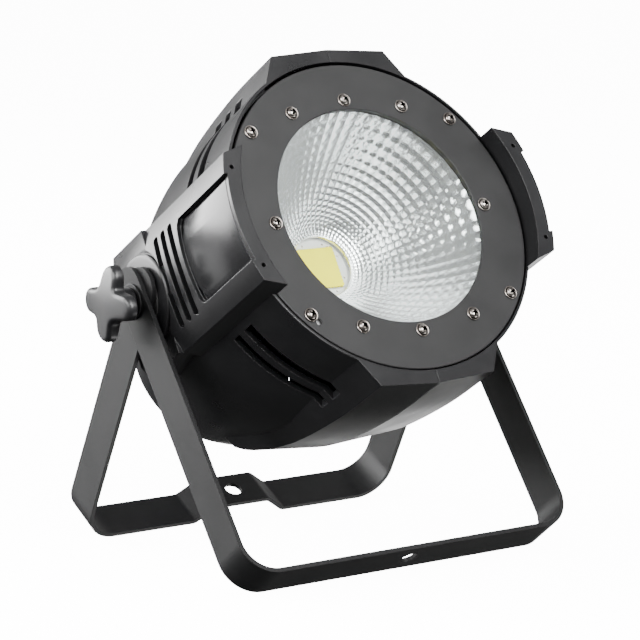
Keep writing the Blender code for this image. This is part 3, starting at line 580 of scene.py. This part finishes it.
def side_pad(side):
    """The flat pad behind the block, round the pivot, with its rear corners cut off."""
    front, rear = FRONT - BLOCK_REAR + 0.001, FRONT - PAD_REAR
    outline = [
        (front, BLOCK_HALF),
        (front, -BLOCK_HALF),
        (rear + 0.007, -BLOCK_HALF),
        (rear, -BLOCK_HALF + 0.011),
        (rear, BLOCK_HALF - 0.011),
        (rear + 0.007, BLOCK_HALF),
    ]
    return mirrored(turned_sideways(outline, 0.070, PAD_X), side)


def boss(side):
    """The round boss at the pivot, with a rounded rim."""
    r, x, root = BOSS_R, BOSS_X, 0.098
    profile = [(0, x), (r - 0.0030, x), (r - 0.0012, x - 0.0004), (r - 0.0003, x - 0.0012)]
    profile += [(r, x - 0.0024), (r, root), (0, root)]
    mesh = moved(lathe(profile, 96), turn(90, "Y"), shift(0, SHELL_DROP, 0))
    return mirrored(mesh, side)


def sector(inner, outer, half_angle, middle, count=40):
    """Part of a ring, as an outline."""
    start, end = middle - half_angle, middle + half_angle
    return arc(outer, start, end, count) + arc(inner, end, start, count)


def turned_sideways(outline, low, high):
    """An outline of (z, y) with a thickness along X."""
    mesh = prism(outline, low, high)
    mesh.transform(Matrix(((0, 0, 1, 0), (0, 1, 0, 0), (1, 0, 0, 0), (0, 0, 0, 1))))
    mesh.flip_normals()
    return mesh


def bowed_slot(behind, width=0.0058, half=0.032, bow=0.146, corner=0.0014):
    """A slot whose middle bows forwards, with rounded corners, as an outline of (z, y)."""
    centre = (FRONT - behind - bow, 0.0)
    end = math.asin(half / bow)
    outline = arc(bow + width / 2, -end + corner / bow, end - corner / bow, 31, centre)
    outline += arc(bow + width / 2 - corner, end, end, 1, centre)
    outline += arc(bow - width / 2 + corner, end, end, 1, centre)
    outline += arc(bow - width / 2, end - corner / bow, -end + corner / bow, 31, centre)
    outline += arc(bow - width / 2 + corner, -end, -end, 1, centre)
    outline += arc(bow + width / 2 - corner, -end, -end, 1, centre)
    return outline


def recess_corners(inset, front):
    """The side recess seen from the side, as an outline of (z, y): chamfered above and rounded below."""
    rear, half, corner = FRONT - RECESS_REAR + inset, RECESS_HALF - inset, 0.0048
    outline = [(FRONT + front + 0.001, -half - 0.001), (FRONT + front + 0.001, half + 0.001)]
    outline += [(rear + 0.0030, half + 0.001), (rear + 0.0030, half), (rear + 0.0005, half - 0.0035)]
    outline += [(rear, half - 0.0060)]
    outline += arc(corner, math.pi, 1.5 * math.pi, 9, (rear + corner, -half + corner))
    outline += [(rear + corner, -half - 0.001)]
    return outline


def shell_cutters():
    """The cavity, vents, slots, recesses and holes."""
    cavity = [(0, FRONT + 0.03), (EAR_R, FRONT + 0.03), (EAR_R, FRONT + 0.0003), (LIP_R, FRONT + 0.0003)]
    cavity += [(LIP_R, FRONT - 0.010), (CAVITY_R, FRONT - 0.010)]
    cavity += [(shell_radius(b) - SHELL_WALL, FRONT - b) for b in bell()[:-2]]
    mouth = COVER_R + 0.0003
    rear = FRONT - SHELL_LENGTH
    cavity += [(mouth, rear + 0.004), (mouth, rear - 0.02), (0, rear - 0.022)]
    cutters = [lathe(cavity, 160)]
    for quarter in range(4):
        slots = SHELL_SLOTS + (UPPER_SLOT,) if quarter < 2 else SHELL_SLOTS
        for behind, half, start, end in slots:
            middle = math.radians(start + end) / 2
            middle = (middle, math.pi - middle, math.pi + middle, -middle)[quarter]
            outline = sector(0.100, 0.135, math.radians(end - start) / 2, middle)
            cutters.append(prism(outline, FRONT - behind - half, FRONT - behind + half))
    for side in (1, -1):
        cutters.append(ridge(side, 0.0045))
        cutters.append(mirrored(box((0.095, -0.038, FRONT - 0.088), (0.1135, 0.038, FRONT - 0.008)), side))
        for behind in SIDE_SLOTS:
            cutters.append(mirrored(turned_sideways(bowed_slot(behind), 0.108, 0.130), side))
        for radius, inset, front in ((RECESS_R, 0.0, 0.03), (POCKET_R, 0.0004, POCKET_FRONT)):
            half = RECESS_HALF - inset
            angle = math.asin(half / radius)
            outline = arc(radius, -angle, angle, 41) + [(0.140, half), (0.140, -half)]
            room = prism(outline, FRONT - RECESS_REAR + inset, FRONT + front)
            keep = turned_sideways(recess_corners(inset, front), 0.100, 0.145)
            cutters.append(mirrored(combined(room, [keep], "INTERSECT"), side))
        bore = moved(rod(PIVOT_BORE, 0.08, 0.14, 40), turn(90, "Y"))
        cutters.append(mirrored(moved(bore, shift(0, SHELL_DROP, 0)), side))
        for up in (1, -1):
            hole = rod(EAR_HOLE, 0.121, 0.14, 24)
            cutters.append(mirrored(moved(hole, shift(EAR_HOLE_OUT, up * EAR_HOLE_UP, 0)), side))
    return cutters


def shell_halves():
    """The whole shell, cut apart at the seam between the can's sides."""
    profile = [(0, FRONT), (SHELL_R - 0.0006, FRONT), (SHELL_R, FRONT - 0.0006)]
    profile += [(SHELL_R, FRONT - 0.1 * i / 10) for i in range(1, 10)]
    profile += [(shell_radius(b), FRONT - b) for b in bell()]
    profile += [(0, FRONT - SHELL_LENGTH)]
    body = lathe(profile, 160)
    added = [ridge(1), ridge(-1)]
    for side in (1, -1):
        added += [side_block(side), side_pad(side), boss(side)]
    body = combined(body, added, "UNION")
    body = combined(body, shell_cutters())
    for name, side in (("left", -1), ("right", 1)):
        room = mirrored(box((SEAM_HALF, -0.3, -0.3), (0.3, 0.3, 0.3)), side)
        half = combined(body.copy(), [room], "INTERSECT")
        piece(f"shell_{name}", half, SHELL, "can", BLACK, [f"housing_{name}"], angle=24)


def side_inserts():
    """Curved plates that meet the recess's rear edge in the middle and stand off it at both corners."""
    low, high = RECESS_HALF - 0.0007, 0.0275
    inner, outer = POCKET_R + 0.0003, RECESS_R + 0.0002
    outline = arc(outer, -math.asin(low / outer), math.asin(high / outer), 57)
    outline += arc(inner, math.asin(high / inner), -math.asin(low / inner), 57)
    rear, front = FRONT - RECESS_REAR, FRONT + POCKET_FRONT - 0.0003
    edge = [(0.0080, high), (0.0066, 0.0262), (0.0040, 0.0208), (0.0016, 0.0165), (0.0006, 0.0125)]
    edge += [(0.0005, -0.0080)]
    edge += [(0.0009, -0.0125), (0.0020, -0.0170), (0.0032, -0.0212), (0.0048, -0.0252), (0.0068, -0.0280)]
    edge += [(0.0090, -low)]
    trim = [(front + 0.001, -low - 0.001), (front + 0.001, high + 0.001), (rear + 0.0080, high + 0.001)]
    trim += [(rear + z, y) for z, y in edge] + [(rear + 0.0090, -low - 0.001)]
    for name, side in (("left", -1), ("right", 1)):
        keep = turned_sideways(trim, 0.10, 0.14)
        mesh = combined(prism(outline, rear, front), [keep], "INTERSECT")
        mesh = mirrored(rounded(mesh, 0.0005, 2, 50), side)
        piece(f"insert_{name}", mesh, SHELL, "can", PANEL, [f"side_panel_{name}"], angle=24)


# The front ---------------------------------------------------------------------------------------


def front_plate():
    """The flat ring round the glass, with one spare screw hole."""
    profile = [(BEZEL_R, -0.0005), (BEZEL_R, -BEZEL_THICK), (APERTURE_R, -BEZEL_THICK), (APERTURE_R, -0.0004)]
    profile += [(APERTURE_R + 0.0004, 0.0), (BEZEL_R - 0.0005, 0.0)]
    plate = lathe(profile, 192, closed=True)
    spare = rod(SPARE_HOLE, -0.01, 0.01, 24)
    angle = math.radians(SPARE_ANGLE)
    spare.transform(shift(SPARE_AT * math.cos(angle), SPARE_AT * math.sin(angle)))
    piece("front_plate", combined(plate, [spare]), BEAM, "can", BEZEL, ["front_bezel"])


def pan_head():
    """A pan head with a cross recess, on a dished washer."""
    head = [(0, 0.0034), (0.0012, 0.00335), (0.0021, 0.0031), (0.0028, 0.0027), (0.0033, 0.0021)]
    head += [(0.0035, 0.0014), (0.0034, 0.0009), (0.0021, 0.0008), (0.0021, -0.0075), (0, -0.0075)]
    cross = []
    for angle in (0, 90):
        corners = ((1, 1), (-1, 1), (-1, -1), (1, -1))
        low = [(x * 0.0014, y * 0.0005, 0.0008) for x, y in corners]
        top = [(x * 0.0028, y * 0.0009, 0.0042) for x, y in corners]
        cross.append(moved(loft([low, top]), turn(angle, "Z")))
    screw = combined(lathe(head, 40), cross)
    ring = [(0.0048, 0.0003), (0.0048, 0.0008), (0.0045, 0.0011), (0.0040, 0.0010), (0.0036, 0.0006)]
    ring += [(0.0026, 0.0006), (0.0026, 0.0003)]
    return merged(screw, lathe(ring, 40, closed=True))


def front_screws():
    """Twelve screws round the front plate, each turned to a different angle."""
    mesh = pan_head()
    for number, (radius, degrees) in enumerate(BEZEL_SCREWS, 1):
        angle = math.radians(degrees)
        place = BEAM @ shift(radius * math.cos(angle), radius * math.sin(angle)) @ turn(17 + 53 * number, "Z")
        name = f"bezel_screw_{number:02d}"
        piece(f"pan_screw_{number:02d}", mesh, place, "can", NICKEL, [name], angle=30)


def facet_reflector():
    """A bowl of pillow-shaped facets in rings, under a plain rim and over a plain collar."""
    around, rows, fine = FACETS_ROUND, FACET_ROWS, FACET_FINE
    mouth, neck, top, bottom = APERTURE_R + 0.0026, 0.0229, -0.0064, -0.0802

    def bowl(t):
        """Radius and depth at t, from the neck at 0 to the mouth at 1."""
        depth = t**1.62
        return neck + (mouth - neck) * t, bottom + (top - bottom) * depth

    bm = bmesh.new()
    grid = []
    for j in range(rows * fine + 1):
        t = j / (rows * fine)
        # Rows get shorter towards the neck, as the facets do.
        t = 0.55 * t + 0.45 * t**2
        radius, z = bowl(t)
        ahead = bowl(min(t + 0.002, 1.0))
        behind = bowl(max(t - 0.002, 0.0))
        normal = Vector((-(ahead[1] - behind[1]), ahead[0] - behind[0])).normalized()
        across = (j % fine) / fine
        line = []
        for i in range(around * fine):
            along = (i % fine) / fine
            width = 2 * math.pi * radius / around
            swell = 0.080 * width * (1 - (2 * along - 1) ** 2) * (1 - (2 * across - 1) ** 2)
            angle = 2 * math.pi * i / (around * fine)
            r, depth = radius + normal.x * swell, z + normal.y * swell
            line.append(bm.verts.new((r * math.cos(angle), r * math.sin(angle), depth)))
        grid.append(line)
    for a, b in zip(grid, grid[1:]):
        for i in range(len(a)):
            j = (i + 1) % len(a)
            bm.faces.new((a[i], a[j], b[j], b[i]))
    bowl_mesh = to_mesh(bm, "bowl")
    rim = [(mouth, top), (0.0799, top), (0.0799, -0.0095)]
    back = [bowl(1 - k / 12) for k in range(1, 13)]
    rim += [(r + 0.0012, z - 0.0012) for r, z in back]
    collar = [(neck + 0.0012, bottom - 0.0030), (neck - 0.0006, bottom - 0.0030)]
    collar += [(neck - 0.0010, bottom - 0.0020), (neck - 0.0006, bottom - 0.0006), (neck, bottom)]
    shell = lathe(rim + collar, 128)
    mesh = merged(bowl_mesh, shell)
    piece("facet_reflector", mesh, BEAM, "can", MIRROR, ["reflector"], angle=9)


def light_source():
    """The LED's white base, its yellow phosphor with a toothed edge, two solder pads, the holder's pins and
    the round holder.
    """
    half, teeth = 0.0142, 11
    side = []
    for i in range(teeth * 6):
        wave = 0.00075 * (1 - abs(2 * (i % 6) / 6.0 - 1))
        side.append((half + wave, -half + 2 * half * i / (teeth * 6)))
    outline = []
    for k in range(4):
        c, s = math.cos(k * math.pi / 2), math.sin(k * math.pi / 2)
        outline += [(x * c - y * s, x * s + y * c) for x, y in side]
    phosphor = prism(outline, -COB_FACE + 0.0003, -COB_FACE + 0.0013)
    piece("phosphor_square", phosphor, BEAM, "can", PHOSPHOR, ["led_phosphor"])
    base = rounded_box(0.0157, 0.0157, 0.0012, -COB_FACE - 0.0013, -COB_FACE - 0.0001)
    piece("led_base", base, BEAM, "can", CERAMIC, ["led_cob"])
    for number, (x, y) in enumerate(((0.0120, 0.0152), (-0.0120, -0.0152)), 1):
        pad = moved(rounded_box(0.0018, 0.0004, 0.0003, -0.0001, 0.00006), shift(x, y, -COB_FACE))
        piece(f"solder_pad_{number}", pad, BEAM, "can", BRASS)
    pin_circle = 0.0192
    for number, angle in enumerate((25, 65, 115, 155, 205, 245, 295, 335), 1):
        dot = lathe([(0, 0.0004), (0.0005, 0.0003), (0.0007, 0.0), (0.0, 0.0)], 16)
        x, y = (pin_circle * ratio(math.radians(angle)) for ratio in (math.cos, math.sin))
        place = shift(x, y, -COB_FACE - 0.0001)
        piece(f"holder_pin_{number}", moved(dot, place), BEAM, "can", NICKEL)
    top, low = -COB_FACE - 0.0001, -COB_FACE - 0.0013
    ring = [(0.0288, low), (0.0288, top - 0.0003), (0.0285, top), (0.0, top), (0.0, low)]
    hole = rounded_box(0.0160, 0.0160, 0.0014, low - 0.01, top + 0.01)
    holder = combined(lathe(ring, 96), [hole])
    piece("led_holder", holder, BEAM, "can", CERAMIC, ["cob_holder"])


# The yoke ----------------------------------------------------------------------------------------


def strip_outline(path, thickness):
    """The outline of a flat bar whose middle follows a path."""
    points = [Vector(p) for p in path]
    sides = ([], [])
    for i, point in enumerate(points):
        before = (point - points[max(i - 1, 0)]).normalized()
        after = (points[min(i + 1, len(points) - 1)] - point).normalized()
        along = (before + after).normalized()
        normal = Vector((-along.y, along.x))
        line = after if after.length else before
        reach = thickness / 2 / normal.dot(Vector((-line.y, line.x)))
        sides[0].append(tuple(point + normal * reach))
        sides[1].append(tuple(point - normal * reach))
    return sides[0] + sides[1][::-1]


def yoke(name, node, half, leg, lean, joggle=0.0):
    """A bracket bent from flat bar, with round ends at the pivots and a bolt hole in its base."""
    middle, base, bend = half - STRIP / 2, leg - STRIP / 2, BEND_R + STRIP / 2
    side = [(middle, -0.030)]
    side += arc(bend, 0, math.pi / 2, 22, (middle - bend, base - bend))
    if joggle:
        slope = math.atan2(joggle, JOGGLE_FOOT - JOGGLE_FLAT)
        radius = 0.006
        reach = radius * math.tan(slope / 2)
        side += arc(radius, math.pi / 2, math.pi / 2 + slope, 6, (JOGGLE_FOOT + reach, base - radius))
        raised = (JOGGLE_FLAT - reach, base - joggle + radius)
        side += arc(radius, slope - math.pi / 2, -math.pi / 2, 6, raised)
    path = side + [(-x, y) for x, y in side][::-1]
    bent = prism(strip_outline(path, STRIP), -0.030, 0.030)
    end = [(y, -x - LEG_TOP) for x, y in arc(STRIP_WIDTH / 2, -math.pi / 2, math.pi / 2, 33)]
    trim = prism(end + [(STRIP_WIDTH / 2, leg + 0.01), (-STRIP_WIDTH / 2, leg + 0.01)], -0.2, 0.2)
    trim.transform(Matrix(((0, 0, 1, 0), (0, 1, 0, 0), (-1, 0, 0, 0), (0, 0, 0, 1))))
    bracket = combined(bent, [trim], "INTERSECT")
    bore = moved(rod(KNOB_BORE, -0.2, 0.2, 40), turn(90, "Y"))
    bolt = moved(rod(BOLT_HOLE, -0.03, 0.03, 56), turn(90, "X"))
    bolt.transform(shift(0, leg - STRIP / 2 - joggle, 0))
    bracket = combined(bracket, [bore, bolt])
    place = Matrix.Translation(PIVOT) @ Matrix.Rotation(-math.pi / 2 - lean, 4, "X")
    piece(name, bracket, place, node, YOKE, [node], angle=24)


# The knobs ---------------------------------------------------------------------------------------


def knob_outline(inset=0.0):
    """Four round lobes, in two opposite pairs, with round valleys between them."""
    lobes = ((58.0, 0.0210), (135.5, 0.0180), (238.0, 0.0210), (315.5, 0.0180))
    valleys = ((97.0, 0.0150), (187.0, 0.0125), (277.0, 0.0150), (7.0, 0.0125))
    radius = 0.0085
    points = []
    for (degrees, at), (across, depth) in zip(lobes, valleys):
        angle = math.radians(degrees)
        centre = Vector((at * math.cos(angle), at * math.sin(angle)))
        points += arc(radius - inset, angle - math.radians(84), angle + math.radians(84), 15, tuple(centre))
        across = math.radians(across)
        points.append(((depth - inset) * math.cos(across), (depth - inset) * math.sin(across)))
    return points


def eased(points, rounds=3):
    """A closed outline with its corners cut again and again, which leaves flowing curves."""
    for _ in range(rounds):
        cut = []
        for i, (x, y) in enumerate(points):
            a, b = points[(i + 1) % len(points)]
            cut += [(0.75 * x + 0.25 * a, 0.75 * y + 0.25 * b), (0.25 * x + 0.75 * a, 0.25 * y + 0.75 * b)]
        points = cut
    return points


def knob(name):
    """A moulded grip with a domed face and rounded edges, on its hub and stud."""
    crown, fall, back = 0.1540, 3.6, 0.1445

    def dome(points, drop):
        """The points on the domed face, lowered by a distance."""
        return [(x, y, crown - drop - fall * (x * x + y * y)) for x, y in points]

    outer = eased(knob_outline())
    sections = [[(x, y, back) for x, y in eased(knob_outline(0.0006))]]
    sections.append([(x, y, back + 0.0006) for x, y in outer])
    edge = ((0.0, 0.0030), (0.0002, 0.0019), (0.0007, 0.0010), (0.0014, 0.0004), (0.0024, 0.0001))
    for inset, drop in edge:
        sections.append(dome(eased(knob_outline(inset)), drop))
    last = eased(knob_outline(0.0034))
    for t in (1.0, 0.86, 0.72, 0.58, 0.44, 0.30, 0.15, 0.04):
        sections.append(dome([(x * t, y * t) for x, y in last], 0.0))
    grip = moved(loft(sections), turn(90, "Z"))
    hub = [(0, 0.1462), (0.0112, 0.1462), (0.0108, 0.1446), (0.0098, 0.1425), (0.0095, 0.1400)]
    hub += [(0.0095, 0.1338), (0.0090, 0.1332), (0.0040, 0.1332)]
    # The stud's thread, as plain grooves.
    for i in range(38):
        z = 0.1320 - i * 0.00070
        hub += [(0.0040, z), (0.0037, z - 0.00035)]
    stem = lathe(hub + [(0.0034, 0.1050), (0, 0.1050)], 48)
    body = f"knob_{name}"
    piece(f"lobed_knob_{name}", merged(grip, stem), SIDES[name], body, KNOB, [body])


def pivots():
    """On each side the knob, the flat washer under it, and the rubber washer against the boss."""
    for name in ("left", "right"):
        knob(name)
        ring = [(0.0120, 0.1314), (0.0120, 0.1323), (0.0117, 0.1325)]
        ring += [(0.0045, 0.1325), (0.0043, 0.1323), (0.0043, 0.1314)]
        flat = lathe(ring, 64, closed=True)
        body = f"washer_{name}"
        piece(f"flat_washer_{name}", flat, SIDES[name], body, YOKE, [body])
        ring = [(0.0200, 0.1234), (0.0200, 0.1240), (0.0197, 0.1243)]
        ring += [(0.0044, 0.1243), (0.0044, 0.1232), (0.0197, 0.1232)]
        soft = lathe(ring, 80, closed=True)
        node = f"friction_washer_{name}"
        piece(f"rubber_washer_{name}", soft, SIDES[name], "can", RUBBER, [node])


# What stays as the CAD has it --------------------------------------------------------------------


def repaint():
    """New materials for the pieces whose CAD shape stays in view."""
    looks = {
        "front_glass": GLASS,
        "glass_gasket": RUBBER,
        "clamp_ring": ALUMINIUM,
        "heat_sink": ALUMINIUM,
        "sink_mount_left": NICKEL,
        "sink_mount_right": NICKEL,
        "fan_frame": PLASTIC,
        "fan_rotor": PLASTIC,
        "led_driver": ALUMINIUM,
        "control_board": BOARD,
        "rear_cover": BLACK,
        "display_window": DISPLAY,
        "dmx_in_socket": PLASTIC,
        "dmx_out_socket": PLASTIC,
        "power_in_socket": BLUE,
        "power_out_socket": GREY,
        "fuse_holder": PLASTIC,
        "fuse_cap": PLASTIC,
        "safety_eyelet": NICKEL,
        "pivot_insert_left": BRASS,
        "pivot_insert_right": BRASS,
    }
    for number in range(1, 5):
        looks[f"menu_button_{number}"] = RUBBER
        looks[f"rear_cover_screw_{number}"] = NICKEL
    for name, material in looks.items():
        node = frame["nodes"][name]
        for slot in node.material_slots:
            slot.material = material


# Floor, light and camera -------------------------------------------------------------------------


def floor():
    """A pale floor that glows a little, so that only a faint shadow shows on it."""
    bm = bmesh.new()
    bmesh.ops.create_grid(bm, x_segments=8, y_segments=8, size=9.0)
    obj = bpy.data.objects.new("floor", to_mesh(bm, "floor"))
    bpy.context.scene.collection.objects.link(obj)
    pale = finish_of("pale_floor", (0.80, 0.80, 0.80), (0.82, 0.82, 0.82), (0.6, 0.7), grain=90.0, bump=0.01)
    shader = pale.node_tree.nodes["Principled BSDF"]
    shader.inputs["Specular IOR Level"].default_value = 0.0
    shader.inputs["Emission Color"].default_value = (1.0, 1.0, 1.0, 1.0)
    shader.inputs["Emission Strength"].default_value = 13.0
    obj.data.materials.append(pale)
    obj.visible_glossy = False
    obj.visible_diffuse = False
    obj.visible_shadow = False


def softbox(name, at, target, width, height, radiance):
    """A rectangular lamp of an even brightness, hidden from the camera itself."""
    light = bpy.data.lights.new(name, "AREA")
    light.shape = "RECTANGLE"
    light.size, light.size_y = width, height
    light.energy = radiance * math.pi * width * height
    obj = bpy.data.objects.new(name, light)
    bpy.context.scene.collection.objects.link(obj)
    obj.location = at
    obj.rotation_euler = (Vector(target) - Vector(at)).to_track_quat("-Z", "Y").to_euler()
    obj.visible_camera = False
    return obj


def surroundings():
    """A white backdrop for the camera, over a room that is dim above the floor and dark below it."""
    world = bpy.data.worlds.new("studio")
    bpy.context.scene.world = world
    world.use_nodes = True
    tree = world.node_tree
    back = tree.nodes["Background"]
    seen = tree.nodes.new("ShaderNodeLightPath").outputs["Is Camera Ray"]
    tree.links.new(mapped(tree, seen, 0.0, 1.0, 0.38, 14.0), back.inputs["Strength"])
    split = tree.nodes.new("ShaderNodeSeparateXYZ")
    tree.links.new(tree.nodes.new("ShaderNodeTexCoord").outputs["Generated"], split.inputs["Vector"])
    up = mapped(tree, split.outputs["Z"], -0.30, 0.10, 0.16, 1.0)
    most = tree.nodes.new("ShaderNodeMath")
    most.operation = "MAXIMUM"
    tree.links.new(up, most.inputs[0])
    tree.links.new(seen, most.inputs[1])
    tree.links.new(mixed(tree, most.outputs[0], (0.0, 0.0, 0.0), (1.0, 1.0, 1.0)), back.inputs["Color"])
    middle = (0.0, 0.0, 0.2)
    softbox("back_left", (-1.75, 2.5, 1.25), middle, 2.3, 2.5, 17.0)
    softbox("low_left", (-1.4, 2.3, -0.62), middle, 1.6, 0.8, 1.5)
    softbox("front_top", (0.15, -1.15, 1.55), middle, 1.0, 1.0, 5.5)
    softbox("on_axis", (0.0, -2.3, 1.55), middle, 1.2, 1.2, 19.0)
    softbox("front_left", (-2.3, -1.9, 1.6), middle, 1.3, 1.5, 6.0)
    softbox("left", (-2.6, 0.1, 1.2), middle, 1.5, 1.3, 12.0)
    softbox("right", (2.4, 1.0, 0.9), middle, 0.9, 1.2, 2.0)
    softbox("low_right", (1.9, 2.1, -1.0), middle, 1.3, 0.9, 2.6)
    softbox("low_front", (1.4, -1.0, -1.8), middle, 1.6, 1.6, 4.0)


def camera():
    """A long lens from the front left, a little above the can."""
    data = bpy.data.cameras.new("camera")
    data.lens = 158.5
    data.sensor_width = 36.0
    data.clip_end = 50.0
    obj = bpy.data.objects.new("camera", data)
    bpy.context.scene.collection.objects.link(obj)
    obj.location = (-1.0680, -1.5836 + PIVOT.y, 0.4439)
    obj.rotation_euler = tuple(math.radians(a) for a in (81.309, 0.567, -34.535))
    bpy.context.scene.camera = obj


shell_halves()
side_inserts()
front_plate()
front_screws()
facet_reflector()
light_source()
yoke("front_yoke", "front_bracket", FRONT_HALF, FRONT_LEG, FRONT_LEAN)
yoke("rear_yoke", "rear_bracket", REAR_HALF, REAR_LEG, -REAR_LEAN, JOGGLE)
pivots()
repaint()
floor()
surroundings()
camera()
